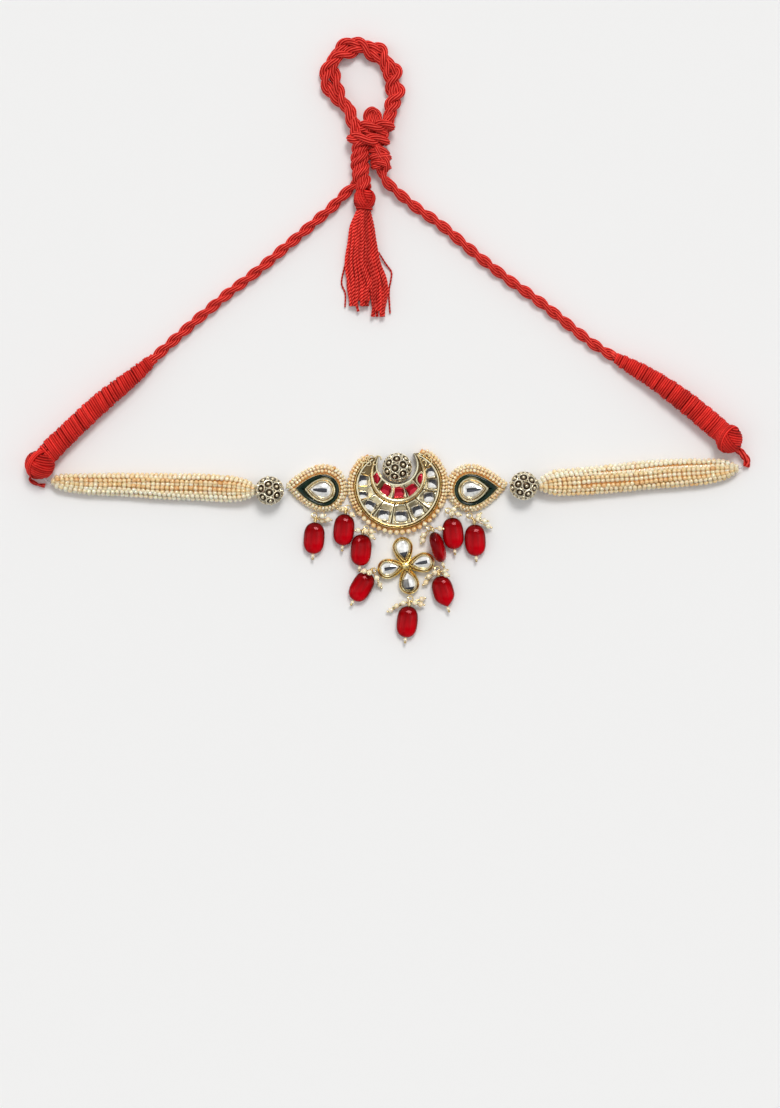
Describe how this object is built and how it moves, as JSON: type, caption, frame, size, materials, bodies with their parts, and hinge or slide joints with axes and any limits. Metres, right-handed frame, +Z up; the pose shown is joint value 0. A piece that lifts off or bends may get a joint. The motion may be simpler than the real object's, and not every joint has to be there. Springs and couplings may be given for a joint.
{
  "type": "choker necklace",
  "caption": "Choker laid flat: gold crescent and drop settings with clear stones, seed pearl strands, red glass drops and a twisted red cord with loop and tassel.",
  "frame": {"origin": "middle of the laid necklace's plan, on the surface it lies on", "axes": "+X along the pearl band, +Y from the drops towards the cord's loop, +Z up from the surface, out of the pendant's face"},
  "size_m": [0.2748, 0.2306, 0.0112],
  "materials": {
    "gold": "polished gold plate",
    "antique_gold": "blackened, with bright raised wire",
    "clear_stone": "foil-backed cut glass",
    "red_stone": "foil-backed cut glass",
    "red_glass": "translucent, polished",
    "green_enamel": "glossy enamel",
    "pearl": "soft pearl lustre",
    "red_thread": "twisted cotton"
  },
  "bodies": {
    "root": {"crescent_frame": "gold", "crescent_pearls": "pearl", "crescent_ball": "antique_gold", "flower_setting": "gold", "cord_loop": "red_thread", "cord_knot": "red_thread", "tassel": "red_thread", "crescent_stone_1": "clear_stone", "crescent_stone_2": "clear_stone", "crescent_stone_3": "clear_stone", "crescent_stone_4": "clear_stone", "crescent_stone_5": "clear_stone", "crescent_stone_6": "clear_stone", "crescent_stone_7": "clear_stone", "crescent_stone_8": "clear_stone", "crescent_stone_9": "clear_stone", "crescent_ruby_1": "red_stone", "crescent_ruby_2": "red_stone", "crescent_ruby_3": "red_stone", "crescent_ruby_4": "red_stone", "crescent_ruby_5": "red_stone", "flower_stone_1": "clear_stone", "flower_stone_2": "clear_stone", "flower_stone_3": "clear_stone", "flower_stone_4": "clear_stone", "drop_bead_1": "red_glass", "drop_pin_1": "pearl", "drop_bead_2": "red_glass", "drop_pin_2": "pearl", "drop_bead_3": "red_glass", "drop_pin_3": "pearl", "drop_bead_4": "red_glass", "drop_pin_4": "pearl", "drop_bead_5": "red_glass", "drop_pin_5": "pearl", "drop_bead_6": "red_glass", "drop_pin_6": "pearl", "drop_bead_7": "red_glass", "drop_pin_7": "pearl", "drop_bead_8": "red_glass", "drop_pin_8": "pearl", "drop_bead_9": "red_glass", "drop_pin_9": "pearl", "pear_setting_left": "gold", "pear_enamel_left": "green_enamel", "pear_stone_left": "clear_stone", "pear_pearls_left": "pearl", "strand_ball_left": "antique_gold", "pearl_strands_left": "pearl", "wrap_left": "red_thread", "cord_left": "red_thread", "pear_setting_right": "gold", "pear_enamel_right": "green_enamel", "pear_stone_right": "clear_stone", "pear_pearls_right": "pearl", "strand_ball_right": "antique_gold", "pearl_strands_right": "pearl", "wrap_right": "red_thread", "cord_right": "red_thread"}
  },
  "joints": []
}
